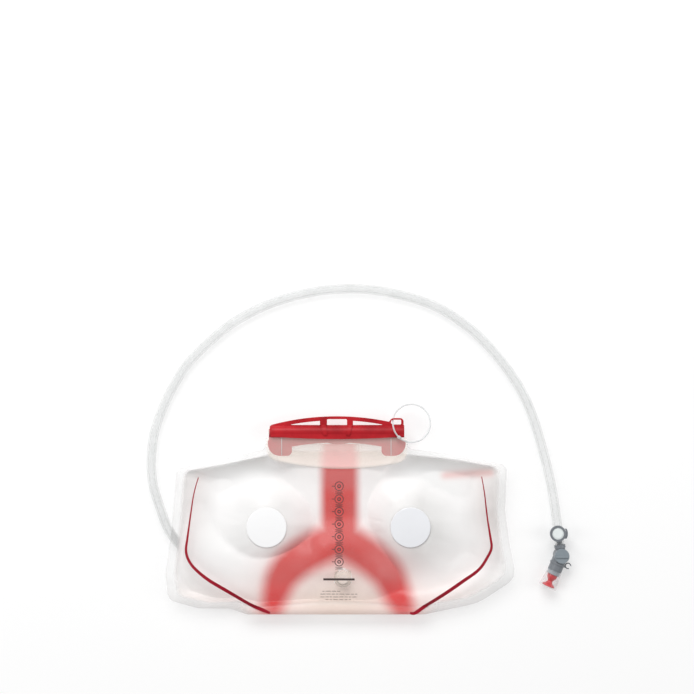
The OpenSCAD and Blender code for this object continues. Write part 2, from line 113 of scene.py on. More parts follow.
def tube(path, radius, sides, closed=False, flip=False):
    """Vertices and faces of a round tube along a path; radius may be one number or one per point."""
    p = np.asarray(path, float)
    n = len(p)
    r = np.broadcast_to(np.asarray(radius, float), (n,))
    if closed:
        d = np.roll(p, -1, 0) - np.roll(p, 1, 0)
    else:
        d = np.gradient(p, axis=0)
    d /= np.linalg.norm(d, axis=1)[:, None]
    s = np.cross(d, (0, 0, 1))
    s /= np.linalg.norm(s, axis=1)[:, None]
    u = np.cross(s, d)
    ang = np.linspace(0, 2 * math.pi, sides, endpoint=False)
    v = (p[:, None] + r[:, None, None] * (s[:, None] * np.cos(ang)[None, :, None]
                                         + u[:, None] * np.sin(ang)[None, :, None])).reshape(-1, 3)
    f = []
    for i in range(n if closed else n - 1):
        for j in range(sides):
            a, b = i * sides + j, i * sides + (j + 1) % sides
            c, e = ((i + 1) % n) * sides + (j + 1) % sides, ((i + 1) % n) * sides + j
            f.append((a, b, c, e) if flip else (a, e, c, b))
    return v, f


# ---------------------------------------------------------------- the reservoir's shape, in mm
def centre_of(node):
    lo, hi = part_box(node)
    return np.array((lo + hi) / 2) / MM


FILM = 0.8
FRONT_RISE = 21.0      # how far each film would stand off the seam if no weld held it down
BACK_RISE = 34.0
OVER_HOSE = 11.0       # the back film lies this high over the hose, and over the port
OVER_PORT = 12.0
PORT_HOLE_R = 9.4
WELD_W = 6.5           # the edge weld's width, and what its bottom side adds
WELD_BOTTOM = 6.0
BAFFLE_R = 20.0
HOSE_R = 4.75
BORE_R = 3.2
PRINT_LIFT = 0.12      # printed pieces stand this far off the film
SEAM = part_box("front_panel")[0].z / MM
NECK_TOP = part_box("front_panel")[1].y / MM
MID = np.array([0.0, -15.0])
PORT = centre_of("port_base")[:2]
BAFFLES = [centre_of("baffle_left")[:2], centre_of("baffle_right")[:2]]

# The hose's middle line, as in the CAD part: from the elbow, out under the left edge and round to the valve
UNDER_PANEL = 10       # spans of it that lie under the reservoir
ROUTE = [
    (-8.5, -68, 4.75), (-30, -68.5, 4.75), (-52, -69.5, 4.75), (-75, -70, 4.75), (-98, -68.5, 4.75),
    (-120, -63, 4.75), (-140, -53, 4.75), (-156.5, -39.5, 4.75), (-170.5, -22, 4.75),
    (-180, 2, 4.75), (-187, 26, 4.75), (-188.5, 50, 4.75), (-186, 74, 4.75), (-178.5, 98, 4.75),
    (-167, 122.5, 4.75), (-152, 146, 4.75), (-131, 167.5, 4.75), (-106.5, 187.3, 4.75),
    (-76, 203.7, 4.75), (-46.5, 213.8, 4.75), (-16, 220, 4.75), (13.5, 221.7, 4.75),
    (42, 219.5, 4.75), (79, 211, 4.75), (108, 198.5, 4.75),
    (136, 178.5, 4.75), (158, 156, 4.75), (176, 132, 4.75), (188.5, 110, 5), (197.5, 87, 5.5),
    (204.8, 62, 6.4), (210.8, 38, 7.5), (215.6, 14, 8.6), (218.95, -10, 9.25),
    (220.65, -24, 9.25), (222.1, -35.7, 9.25)]


def outline():
    """The CAD panel's outline about its middle, in steps of about 2.5 mm."""
    co = np.array([v.co[:2] for v in frame["nodes"]["front_panel"].data.vertices]) / MM
    rel = co - MID
    rad = np.hypot(rel[:, 0], rel[:, 1])
    ang = np.round(np.degrees(np.arctan2(rel[:, 1], rel[:, 0])), 2)
    best = {}
    for a, r, c in zip(ang, rad, co):
        if r > 30 and (a not in best or r > best[a][0]):
            best[a] = (r, c)
    ring = np.array([best[a][1] for a in sorted(best)])
    out = []
    for a, b in zip(ring, np.roll(ring, -1, 0)):
        k = max(1, int(np.linalg.norm(b - a) / 2.5))
        out += [a + (b - a) * i / k for i in range(k)]
    return np.array(out)


def inner_edge(p):
    """Where the edge weld ends and the two films part."""
    d = p - MID
    n = np.linalg.norm(d, axis=1)
    w = WELD_W + WELD_BOTTOM * np.maximum(0, -d[:, 1] / n)
    return MID + d * (1 - w / n)[:, None]


def pillow(t):
    """Height of a filled cushion: 1 in the middle, 0 at the weld's inner edge."""
    return np.maximum(0, 1 - t ** 2.2) ** 0.75


def neck_fade(x, y, y0):
    """The films come together towards the neck, from y0 upwards."""
    return 1 - (1 - smooth01((np.abs(x) - 60) / 50)) * smooth01((y - y0) / 40)


def baffle_fade(x, y):
    """Film rises from a baffle like a tufted cushion: quickly at first, then level."""
    fade = np.ones_like(x)
    for i, b in enumerate(BAFFLES):
        r = np.hypot(x - b[0], y - b[1])
        a = np.arctan2(y - b[1], x - b[0])
        reach = 56 + 7 * np.sin(2 * a + 0.9 + 2.2 * i) + 4 * np.sin(3 * a + 1.7 - i)
        q = np.clip((r - BAFFLE_R - 1.2) / reach, 0, 1)
        fade = fade * (0.6 * smooth01(q) + 0.4 * np.sin(q * math.pi / 2))
    return fade


def segment_distance(x, y, pts):
    """Distance to a line of straight spans."""
    best = np.full(x.shape, 1e9)
    for a, b in zip(pts[:-1], pts[1:]):
        u = np.array(b) - np.array(a)
        t = np.clip(((x - a[0]) * u[0] + (y - a[1]) * u[1]) / (u @ u), 0, 1)
        best = np.minimum(best, np.hypot(x - a[0] - u[0] * t, y - a[1] - u[1] * t))
    return best


rng = np.random.default_rng(7)
WAVES = [
    (rng.uniform(0.02, 0.075), rng.uniform(0, 2 * math.pi), rng.uniform(0, 2 * math.pi))
    for _ in range(9)]


def ripple(x, y):
    """Slow unevenness of hand-filled film."""
    z = np.zeros_like(x)
    for pitch, heading, start in WAVES:
        z += np.sin(pitch * (x * math.cos(heading) + y * math.sin(heading)) + start)
    return z / 3


def puckers(x, y, t, phase):
    """Short creases that run in from the weld, and creases round each baffle."""
    a = np.arctan2(y - MID[1], x - MID[0])
    s = a * 160             # roughly the distance along the edge
    wave = np.sin(s * 0.16 + 2.1 * np.sin(s * 0.031 + phase)) + 0.5 * np.sin(s * 0.37 + phase * 3)
    z = 0.55 * wave * np.clip((1 - t) / 0.03, 0, 1) * np.exp(-(1 - t) / 0.09)
    for i, b in enumerate(BAFFLES):
        r = np.hypot(x - b[0], y - b[1])
        q = np.arctan2(y - b[1], x - b[0])
        fold = np.sin(5 * q + 2.3 * np.sin(q + 2 * i + phase))
        fold = fold + 0.6 * np.sin(9 * q + 1.9 * np.sin(2 * q + i))
        z += 0.75 * fold * smooth01((r - BAFFLE_R - 1) / 12) * np.exp(-np.maximum(r - 30, 0) / 16)
    return z


def front_z(x, y, t):
    """Height of the front film's outer face."""
    neck = neck_fade(x, y, 15)
    full = pillow(t) * neck * baffle_fade(x, y)
    uneven = (puckers(x, y, t, 0.4) + 0.7 * ripple(x, y)) * np.clip(full * 3, 0, 1) * neck
    return SEAM + FILM + FRONT_RISE * full + uneven


def back_z(x, y, t):
    """Height of the back film's outer face: it sags onto the table, and lies over the hose and the port."""
    full = SEAM - FILM - BACK_RISE * pillow(t) * neck_fade(x, y, 30) * baffle_fade(x, y)
    g = segment_distance(x, y, [p[:2] for p in ROUTE[:UNDER_PANEL + 1]])
    r = np.hypot(x - PORT[0], y - PORT[1])
    over_hose = OVER_HOSE * (1 - smooth01((g - 12) / 44))
    over_port = OVER_PORT * (1 - smooth01((r - 26) / 40))
    z = np.maximum.reduce([np.zeros_like(x), full, over_hose, over_port])
    crease = 0.5 * np.abs(puckers(x, y, t, 1.9)) * np.clip(z / 2, 0, 1) * np.clip((15.0 - z) / 3, 0, 1)
    near = np.minimum(smooth01((g - 14) / 8), smooth01((r - 24) / 8))
    return z + crease * near


EDGE = outline()
INNER = inner_edge(EDGE)
# How far out each ring of points lies: close together near the weld, where the film is steep
RINGS = np.concatenate([np.linspace(1, 0.9, 13)[1:], np.linspace(0.9, 0.03, 50)[1:]])

# ---------------------------------------------------------------- what the film's material reads
# Centre and half width of the wide three-armed print: x, y, half width
STEM = [(1.0, 64, 18), (1.0, 20, 18.5), (1.0, -30, 18.5)]
ARM_L = [(1.0, -30, 18.5), (-20, -38.5, 19), (-41, -51, 19), (-55, -65, 17.5), (-62, -81, 15),
         (-66, -96, 12), (-67, -107, 10)]
ARM_R = [(1.0, -30, 18.5), (17, -38.5, 18.5), (32, -48.5, 18.5), (48.5, -64, 17.5), (58.5, -84, 15),
         (64.5, -97, 12), (66, -107, 10)]


def band_distance(x, y, band):
    """Signed distance into a band of varying half width: positive inside."""
    pts = catmull(band, 6)
    best = np.full(x.shape, -1e9)
    for a, b in zip(pts[:-1], pts[1:]):
        u = b[:2] - a[:2]
        t = np.clip(((x - a[0]) * u[0] + (y - a[1]) * u[1]) / (u @ u), 0, 1)
        d = np.hypot(x - a[0] - u[0] * t, y - a[1] - u[1] * t)
        best = np.maximum(best, a[2] + (b[2] - a[2]) * t - d)
    return best


def print_mask(x, y, soft_stem, soft_arm):
    """Strength of the print: 1 inside, falling to 0 over the soft width."""
    stem = smooth01(band_distance(x, y, STEM) / soft_stem + 0.5)
    arms = np.maximum(band_distance(x, y, ARM_L), band_distance(x, y, ARM_R))
    arms = smooth01((arms - 1) / soft_arm + 0.5) * smooth01((y + 108) / 5)
    return np.maximum(stem, arms)


def tint_mask(x, y):
    """Faint spread of the print's colour: round the print, along the side lines and near one shoulder."""
    d = np.maximum(band_distance(x, y, ARM_L), band_distance(x, y, ARM_R))
    crotch = np.exp(-(np.hypot((x - 1) / 26, (y + 52) / 15)) ** 2)
    lines = np.minimum(segment_distance(x, y, LINE_L), segment_distance(x, y, LINE_R))
    smear = segment_distance(x, y, [(108, 33.5), (152, 37)])
    low = np.exp(-((y + 92) / 12) ** 2) * np.clip((np.abs(x) - 80) / 30, 0, 1)
    return (0.22 * np.exp(np.minimum(d, 0) / 11) + 0.35 * crotch + 0.10 * np.exp(-lines / 9)
            + 0.42 * np.exp(-(smear / 4.5) ** 2) + 0.05 * low + 0.12 * smooth01((-92 - y) / 10))


def warm_mask(x, y):
    """Cream cast towards the bottom middle, where the film lies doubled over the port's flange."""
    return np.exp(-(np.hypot(x / 56, (y + 94) / 34)) ** 2) + 0.25 * smooth01((-50 - y) / 50)


FLAP_ENDS = (-72.0, 68.5)
FLAP_LOW = 41.5
FLAP_BOW_R = 272.0
FLAP_CORNER_R = 9.0


def lens_y(x):
    """Lower edge of the free flap: a shallow bow with rounded corners."""
    y = FLAP_LOW + FLAP_BOW_R - np.sqrt(FLAP_BOW_R ** 2 - (x - 4) ** 2)
    for end, way in zip(FLAP_ENDS, (1, -1)):
        d = np.clip(1 - (x - end) * way / FLAP_CORNER_R, 0, 1)
        y = y + FLAP_CORNER_R * (1 - np.sqrt(1 - d * d))
    return y


def painted_glow_mask(x, y):
    """Painted light: where the back film glows more, under the folded flap and in the fold along the
    bottom, in place of light that scatters between the films.
    """
    flap = smooth01((y - lens_y(x) + 1.5) / 3) * smooth01((72 - np.abs(x + 1.7)) / 3)
    bottom = smooth01((-97 - y) / 6) * smooth01((102 - np.abs(x)) / 22)
    return np.maximum(flap, 0.75 * bottom)


def painted_shade_mask(x, y, t):
    """Painted shade: grey where the film steepens, under the shoulder seams, at the sides and in the
    dimples.
    """
    a = np.arctan2(y - MID[1], x - MID[0])
    upper = 0.25 + 0.75 * smooth01((y + 60) / 50)
    z = smooth01((t - 0.74) / 0.26) * upper * (0.75 + 0.25 * np.sin(9 * a + 1.3 * np.sin(4 * a)))
    for b, lean, depth in zip(BAFFLES, (0.2, -0.3), (0.55, 0.85)):
        r = np.hypot(x - b[0], y - b[1])
        q = np.arctan2(y - b[1], x - b[0])
        side = 0.30 + 0.70 * (0.5 + 0.5 * np.cos(q - lean)) * (0.7 + 0.3 * np.sin(5 * q + 2))
        z = z + depth * side * np.exp(-(np.maximum(r - BAFFLE_R, 0) / 17) ** 1.6)
    left = smooth01((-120 - x) / 25) * smooth01((30 - y) / 20)
    under_flap = smooth01((78 - np.abs(x)) / 14) * smooth01((y - 38) / 8)
    return np.clip(z * (1 - 0.6 * left) * (1 - under_flap), 0, 1)


# The two thin side lines, from the shoulders down to the bottom
LINE_L = [(-139.5, 33), (-144, 17), (-147.5, -5), (-150.5, -27), (-152, -39), (-150, -48), (-143.5, -57),
          (-130, -68), (-110.5, -80), (-88.5, -94), (-68.5, -103)]
LINE_R = [(142.5, 34), (145.5, 17), (148.5, -8), (151.5, -27), (152.5, -37), (148.5, -46), (139.5, -58.5),
          (122.5, -71), (105.5, -83), (86.5, -96), (76.5, -103), (71.5, -103)]


def ring_faces(n, rings, middle):
    """Faces between rings of n points each, and a fan from the last ring to the middle point."""
    faces = []
    for i in range(rings - 1):
        for j in range(n):
            a, b = i * n + j, i * n + (j + 1) % n
            faces.append((a, b, b + n, a + n))
    last = (rings - 1) * n
    return faces + [(last + j, last + (j + 1) % n, middle) for j in range(n)]


def in_port_hole(face, xy):
    """Whether a face lies in the hole that the port stands in."""
    return np.hypot(*(xy[list(face)].mean(0) - PORT)) < PORT_HOLE_R


def print_masks(x, y):
    """Masks of the back film alone, for its outer points and then its inner ones.

    The print is softer on the inner face, which is the one seen through the front film."""
    warm = warm_mask(x, y)
    painted_glow = painted_glow_mask(x, y)
    # The inner face gets painted light: more glow under the flap and along the bottom, a warmer colour
    # under the flap, and a lighter copy of the ink there.
    inner_painted_glow = np.concatenate([np.zeros_like(x), painted_glow])
    return {
        "print": np.concatenate([print_mask(x, y, 5, 5), print_mask(x, y, 12, 17)]),
        "tint": np.tile(tint_mask(x, y), 2),
        "painted_glow": inner_painted_glow,
        "pale": inner_painted_glow * np.tile(y > 0, 2),
        "deep": np.tile(smooth01((-66 - y) / 22), 2),
        "warm": np.concatenate([warm, np.maximum(warm, 0.6 * painted_glow)])}


def panel(front):
    """One film of the reservoir as a closed shell, with the masks that its material reads."""
    n = len(EDGE)
    xy = [EDGE, INNER] + [MID + (INNER - MID) * t for t in RINGS] + [MID[None]]
    out = [np.full(n, 2.0), np.full(n, 1.0)] + [np.full(n, t) for t in RINGS] + [np.zeros(1)]
    xy, out = np.concatenate(xy), np.concatenate(out)
    x, y = xy[:, 0], xy[:, 1]
    t = np.minimum(out, 1)
    side = 1 if front else -1
    z = front_z(x, y, t) if front else back_z(x, y, t)
    z[out >= 1] = SEAM + side * FILM
    outer = np.column_stack([x, y, z])
    inner = np.column_stack([x, y, z - side * (FILM - 0.03)])
    m = len(outer)
    up = ring_faces(n, len(RINGS) + 2, m - 1)
    if not front:
        up = [f for f in up if not in_port_hole(f, xy)]
    down = [tuple(q + m for q in reversed(f)) for f in up]
    rim = [(j + m, (j + 1) % n + m, (j + 1) % n, j) for j in range(n)]
    faces = up + down + rim
    if not front:
        faces = [tuple(reversed(f)) for f in faces]
    bottom = smooth01((-88 - y) / 6) * smooth01((102 - np.abs(x)) / 22)
    weld = np.where(out >= 1, 1.0, smooth01((out - 0.975) / 0.025)) * (1 - bottom)
    masks = {"weld": np.tile(weld, 2), "shade": np.tile(painted_shade_mask(x, y, t), 2)}
    if not front:
        masks.update(print_masks(x, y))
    return np.concatenate([outer, inner]), faces, masks


v, f, masks = panel(True)
film_front = mesh_piece("film_front", v, f, "reservoir", attributes=masks,
                        replaces=["front_panel"])
v, f, masks = panel(False)
film_back = mesh_piece("film_back", v, f, "reservoir", attributes=masks,
                       replaces=["back_panel"])


# ---------------------------------------------------------------- side lines
def polar_t(x, y):
    """How far out a point is: 0 in the middle, 1 at the weld's inner edge."""
    a = np.arctan2(INNER[:, 1] - MID[1], INNER[:, 0] - MID[0])
    r = np.hypot(INNER[:, 0] - MID[0], INNER[:, 1] - MID[1])
    o = np.argsort(a)
    q = np.arctan2(y - MID[1], x - MID[0])
    edge = np.interp(q, a[o], r[o], period=2 * math.pi)
    return np.clip(np.hypot(x - MID[0], y - MID[1]) / edge, 0, 1)


def strip(name, left, right, across=3):
    """A printed band between two lines, laid on the front film."""
    left, right = np.asarray(left, float), np.asarray(right, float)
    w = np.linspace(0, 1, across + 1)
    xy = (left[:, None] * (1 - w)[None, :, None] + right[:, None] * w[None, :, None]).reshape(-1, 2)
    t = polar_t(xy[:, 0], xy[:, 1])
    z = front_z(xy[:, 0], xy[:, 1], t) + PRINT_LIFT
    z[t >= 1] = SEAM + FILM + PRINT_LIFT
    n = across + 1
    faces = []
    for i in range(len(left) - 1):
        for j in range(across):
            a = i * n + j
            faces.append((a, a + n, a + n + 1, a + 1))
    return mesh_piece(name, np.column_stack([xy, z]), faces, "reservoir")


def widened(points, half):
    """The two sides of a line of varying half width."""
    p = np.asarray(points, float)
    d = np.gradient(p, axis=0)
    d /= np.linalg.norm(d, axis=1)[:, None]
    normal = np.column_stack([-d[:, 1], d[:, 0]])
    h = np.asarray(half, float)[:, None]
    return p + normal * h, p - normal * h


# Half width of a side line, against how far down the line it is
LINE_HALF = [(0, 0.45), (0.25, 0.8), (0.42, 1.35), (0.7, 1.8), (0.96, 1.8), (1.0, 1.1)]
for name, line in (("line_left", LINE_L), ("line_right", LINE_R)):
    path = catmull([(a, b, 0) for a, b in line], 10)[:, :2]
    along = np.concatenate([[0], np.cumsum(np.linalg.norm(np.diff(path, axis=0), axis=1))])
    along /= along[-1]
    left, right = widened(path, np.interp(along, *zip(*LINE_HALF)))
    if name == "line_left":         # drawn the other way round, so that it faces up too
        left, right = right, left
    strip(name, left, right)

# ---------------------------------------------------------------- generic markings on the front
INK = []
SCALE_X = 0.7
SCALE_TOP = 25.0
SCALE_STEP = 12.4
TEXT_TOP = -80.0
TEXT_STEP = 3.1


def ink_bar(x0, x1, y0, y1):
    """A printed bar, cut into short lengths so that it can follow the film."""
    nx = max(1, int((x1 - x0) / 2))
    xs = np.linspace(x0, x1, nx + 1)
    base = sum(len(b[0]) for b in INK)
    v, f = [], []
    for x in xs:
        v += [(x, y0), (x, y1)]
    for i in range(nx):
        a = base + i * 2
        f.append((a, a + 2, a + 3, a + 1))
    INK.append((v, f))


def ink_ring(cx, cy, r0, r1, sides):
    """A printed ring between two radii."""
    v, f = [], []
    for k in range(sides):
        q = 2 * math.pi * k / sides
        v += [(cx + r * math.cos(q), cy + r * math.sin(q)) for r in (r0, r1)]
    base = sum(len(b[0]) for b in INK)
    for k in range(sides):
        a, c = base + 2 * k, base + 2 * ((k + 1) % sides)
        f.append((a, a + 1, c + 1, c))
    INK.append((v, f))


# A filling scale of seven steps, each a ring round a dot with a mark on its left and three ticks below it
for i in range(7):
    y = SCALE_TOP - i * SCALE_STEP
    ink_ring(SCALE_X, y, 3.75, 4.55, 18)
    ink_ring(SCALE_X, y, 0.9, 1.9, 10)
    ink_bar(-6.4, -4.0, y - 0.35, y + 0.35)
    for k, half in enumerate((3.9, 2.6, 3.9)):
        tick = y - 5.4 - k * 0.95
        ink_bar(SCALE_X - half, SCALE_X + half, tick - 0.25, tick + 0.25)

# A plain bar, and four rows of broken dashes
ink_bar(-15.0, 16.0, -68.4, -66.2)
for row, (start, end) in enumerate(((-16, 2), (-18, 19), (-18, 18), (-13, 15))):
    y = TEXT_TOP - row * TEXT_STEP
    x = start
    k = 0
    while x < end - 2:
        dash = 2.2 + 1.9 * ((k * 7 + row * 3) % 4) / 2
        ink_bar(x, min(x + dash, end), y, y + 0.5)
        x += dash + 1.1
        k += 1
ink_xy = np.array([p for v, f in INK for p in v], float)
ink_t = polar_t(ink_xy[:, 0], ink_xy[:, 1])
ink_z = front_z(ink_xy[:, 0], ink_xy[:, 1], ink_t) + PRINT_LIFT
mesh_piece("markings", np.column_stack([ink_xy, ink_z]), [q for v, f in INK for q in f], "reservoir",
           smooth=False)

# ---------------------------------------------------------------- folded mouth
WRAP_R = 4.5
FOLD = np.array([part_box("mouth_rear")[1].y / MM - WRAP_R, centre_of("slider")[2]])
NECK_ENDS = (-73.5, 68.5)
WRAP_ENDS = (-70, 63)
LEG_TOP = 72.5
FLAP_TOP = 72.8


def bulb(r, leg, n=40):
    """The film's section round the rail, in Y and Z: most of a circle, open where the two legs leave it."""
    a = math.asin(leg / r)
    t = np.linspace(-(math.pi - a), math.pi - a, n)
    return np.column_stack([FOLD[0] + r * np.cos(t), FOLD[1] + r * np.sin(t)])


def shell(grid, thick_dir):
    """Closed thin sheet: a grid of points (rows, columns, 3) and its copy moved through the thickness."""
    rows, cols = grid.shape[:2]
    top = grid.reshape(-1, 3)
    low = (grid + thick_dir).reshape(-1, 3)
    n = rows * cols
    f = []
    for i in range(rows - 1):
        for j in range(cols - 1):
            a = i * cols + j
            f.append((a, a + cols, a + cols + 1, a + 1))
            f.append((a + n, a + n + 1, a + n + cols + 1, a + n + cols))
    for i in range(rows - 1):
        a, b = i * cols, i * cols + cols - 1
        f.append((a, a + n, a + n + cols, a + cols))
        f.append((b, b + cols, b + n + cols, b + n))
    for j in range(cols - 1):
        a, b = j, (rows - 1) * cols + j
        f.append((a, a + 1, a + n + 1, a + n))
        f.append((b, b + n, b + n + 1, b + 1))
    return np.concatenate([top, low]), f


def neck_leg(leg, t):
    """The film from the panel up to the rail."""
    xs = np.linspace(*NECK_ENDS, 72)
    ys = np.linspace(NECK_TOP, LEG_TOP, 5)
    z = FOLD[1] - leg + t
    return shell(np.array([[(x, y, z) for y in ys] for x in xs]), np.array([0, 0, -t]))


def rail_wrap(r_out, leg, t):
    """The film bent round the rail."""
    xs = np.linspace(*WRAP_ENDS, 60)
    arc, core = bulb(r_out, leg), bulb(r_out - t, leg - t)
    grid = np.array([[(x, *p) for p in arc] for x in xs])
    inward = np.array([[(0, *(q - p)) for p, q in zip(arc, core)] for x in xs])
    return shell(grid, inward)


def free_flap(leg, t, phase):
    """The film down from the rail: a little wavy, with a thin lip along its lower edge."""
    near, far = FLAP_ENDS
    xs = np.unique(np.concatenate([np.linspace(near, near + 10, 14), np.linspace(near + 10, far - 10, 100),
                                   np.linspace(far - 10, far, 14)]))
    rows = []
    for x in xs:
        edge = float(lens_y(x))
        y = np.linspace(FLAP_TOP, edge, 28)
        drop = (FLAP_TOP - y) / 30
        wave = 0.30 * np.sin(x * 0.07 + 1 + phase) + 0.22 * np.sin(x * 0.19 + phase + y * 0.08)
        lip = 0.22 * np.exp(-((y - edge) / 0.8) ** 2)
        z = FOLD[1] + leg + wave * drop * (1 - 0.5 * drop) + lip
        rows.append([(x, b, c) for b, c in zip(y, z)])
    return shell(np.array(rows), np.array([0, 0, -t]))


def mouth(name, node, r_out, leg, t, phase):
    """One film of the mouth: up from the panel, round the rail and down as a free flap."""
    parts = [neck_leg(leg, t), rail_wrap(r_out, leg, t), free_flap(leg, t, phase)]
    verts, faces = [], []
    for v, f in parts:
        faces += [tuple(q + len(verts) for q in face) for face in f]
        verts += [tuple(p) for p in v]
    neck = len(parts[0][0])     # the leg up from the panel is as clear as a weld
    obj = mesh_piece(name, verts, faces, "reservoir", replaces=[node],
                     attributes={"weld": [1.0] * neck + [0.0] * (len(verts) - neck)})
    bm = bmesh.new()
    bm.from_mesh(obj.data)
    bmesh.ops.recalc_face_normals(bm, faces=bm.faces)
    bm.to_mesh(obj.data)
    bm.free()
    return obj


flap_rear = mouth("flap_rear", "mouth_rear", r_out=WRAP_R, leg=3.4, t=0.8, phase=0.0)
flap_front = mouth("flap_front", "mouth_front", r_out=3.62, leg=2.58, t=0.75, phase=0.4)


def neck_ridges(places, foot, top):
    """Side welds of the neck, showing as thin pale ridges on the flap."""
    verts, faces = [], []
    for x in places:
        ys = np.linspace(LEG_TOP, 55.0, 12)
        base = len(verts)
        for y in ys:
            verts += [(x - 0.35, y, FOLD[1] + foot), (x, y, FOLD[1] + top), (x + 0.35, y, FOLD[1] + foot)]
        for i in range(len(ys) - 1):
            for j in range(2):
                a = base + 3 * i + j
                faces.append((a, a + 3, a + 4, a + 1))
    return mesh_piece("neck_welds", verts, faces, "reservoir")


neck_welds = neck_ridges((-56.6, 52.4), foot=3.45, top=3.75)

# ---------------------------------------------------------------- hose
SKIN_SIDES = 36
BORE_SIDES = 28
hose_path = catmull(ROUTE, 12)
skin_v, skin_f = tube(hose_path, HOSE_R, SKIN_SIDES)
bore_v, bore_f = tube(hose_path, BORE_R, BORE_SIDES, flip=True)
skin_n = len(skin_v)


def hose_end(skin, bore, back):
    """Faces that close the wall between the skin's last ring and the bore's."""
    faces = []
    for j in range(BORE_SIDES):
        first, last = round(j * SKIN_SIDES / BORE_SIDES), round((j + 1) * SKIN_SIDES / BORE_SIDES)
        ring = [skin + q % SKIN_SIDES for q in range(first, last + 1)]
        ring += [bore + (j + 1) % BORE_SIDES, bore + j]
        faces.append(tuple(reversed(ring)) if back else tuple(ring))
    return faces


ends = hose_end(0, skin_n, True)
ends += hose_end(skin_n - SKIN_SIDES, skin_n + len(bore_v) - BORE_SIDES, False)
hose = mesh_piece("drink_hose", np.concatenate([skin_v, bore_v]),
                  skin_f + [tuple(q + skin_n for q in f) for f in bore_f] + ends, "reservoir",
                  replaces=["hose"])

# ---------------------------------------------------------------- leash ring
LEASH_R = 18.7
WIRE_R = 0.8
BEAD_FROM, BEAD_TO = 221, 234

# Height of the ring's wire by its angle in degrees: it comes up through the eyelet near 180
HEIGHTS = np.array([
    (0, 22), (45, 17.5), (90, 14.8), (120, 14.2), (150, 14.4), (163, 15), (169, 15.9), (177, 18.6),
    (183, 22), (188, 24.8), (196, 27), (206, 27.6), (230, 27.4), (270, 26), (315, 24.2), (360, 22)])
turn = np.linspace(0, 360, 241)[:-1]
height = np.interp(turn, HEIGHTS[:, 0], HEIGHTS[:, 1])
for _ in range(3):
    height = (np.roll(height, 1) + 2 * height + np.roll(height, -1)) / 4
RING = centre_of("leash_ring")
ring_path = np.column_stack([
    RING[0] + LEASH_R * np.cos(np.radians(turn)),
    RING[1] + LEASH_R * np.sin(np.radians(turn)),
    height])
v, f = tube(ring_path, WIRE_R, 16, closed=True)
leash = mesh_piece("leash", v, f, "leash", replaces=["leash_ring"])
bead_path = ring_path[(turn > BEAD_FROM) & (turn < BEAD_TO)]
bead_r = 1.05 + 0.6 * np.sin(np.linspace(0, math.pi, len(bead_path))) ** 0.5
v, f = tube(bead_path, bead_r, 20)
bead = mesh_piece("leash_bead", v, f, "leash")

# ---------------------------------------------------------------- bite valve, silicone
TURN = math.radians(23)     # the bite valve points this far off straight down
JOINTS = {j["name"]: j for j in frame["record"]["behaviour"]["joints"]}
VALVE = np.array(JOINTS["shutoff_turn"]["pos_m"]) / MM
ALONG = np.array([-math.sin(TURN), -math.cos(TURN), 0])
ACROSS = np.array([math.cos(TURN), -math.sin(TURN), 0])


def lathe(profile, origin, axis, side, count=56):
    """A turned shape: profile is (radius, distance along axis)."""
    axis, side = np.array(axis, float), np.array(side, float)
    third = np.cross(axis, side)
    prof = np.asarray(profile, float)
    ang = np.linspace(0, 2 * math.pi, count, endpoint=False)
    v = (origin + prof[:, 1][:, None, None] * axis + prof[:, 0][:, None, None]
         * (side * np.cos(ang)[None, :, None] + third * np.sin(ang)[None, :, None])).reshape(-1, 3)
    f = []
    for i in range(len(prof) - 1):
        for j in range(count):
            a, b = i * count + j, i * count + (j + 1) % count
            f.append((a, b, b + count, a + count))
    return v, f


# The silicone's outside: radius and distance from the dial's axis, root first
SILICONE = [
    (3.45, 20.72, 0), (4.95, 20.75, 0), (5.15, 21.3, 0), (5.1, 23, 0), (4.6, 24.6, 0), (3.4, 26.2, 0),
    (2.75, 27.4, 0), (2.65, 28.5, 0), (3.4, 29.9, 0), (5.5, 31.4, 0), (6.7, 32.6, 0),
    (6.6, 33.2, 0), (5.4, 33.5, 0), (2.5, 33.6, 0), (0.01, 33.62, 0)]
SLIT_AT = 33.7
v, f = lathe(catmull(SILICONE, 5)[:, :2], VALVE, ALONG, ACROSS)
mouth_valve = mesh_piece("silicone_valve", v, f, "reservoir", replaces=["bite_valve"])
# The slit is a thin flat dark piece on the valve's end: painted shade for the dark of the cut.
slit = [VALVE + ALONG * SLIT_AT + ACROSS * a + np.array([0, 0, 1]) * b
        for a, b in ((-3, 0), (-2.4, 0.22), (2.4, 0.22), (3, 0), (2.4, -0.22), (-2.4, -0.22))]
slit_shade_piece = mesh_piece("valve_slit_shade", slit, [(0, 1, 2, 3, 4, 5)], "reservoir",
                        smooth=False)


# ---------------------------------------------------------------- seals
def ring_piece(name, centre, major, minor, node, count=96):
    """A flat-lying round ring in the place of a CAD seal."""
    a = np.linspace(0, 2 * math.pi, count, endpoint=False)
    path = np.column_stack([
        centre[0] + major * np.cos(a), centre[1] + major * np.sin(a), np.full(count, centre[2])])
    v, f = tube(path, minor, 20, closed=True)
    return mesh_piece(name, v, f, "reservoir", replaces=[node])


seal_port = ring_piece("seal_port", (PORT[0], PORT[1], 12.6), 5.6, 0.94, "port_seal")
seal_valve = ring_piece("seal_valve", (VALVE[0], VALVE[1], VALVE[2] + 4.05), 3.78, 0.45,
                        "valve_seal")


# ---------------------------------------------------------------- materials
def material(name):
    """A new material, its node tree and its one shader."""
    m = bpy.data.materials.new(name)
    m.use_nodes = True
    nt = m.node_tree
    nt.nodes.clear()
    out = nt.nodes.new("ShaderNodeOutputMaterial")
    bsdf = nt.nodes.new("ShaderNodeBsdfPrincipled")
    nt.links.new(bsdf.outputs[0], out.inputs[0])
    return m, nt, bsdf


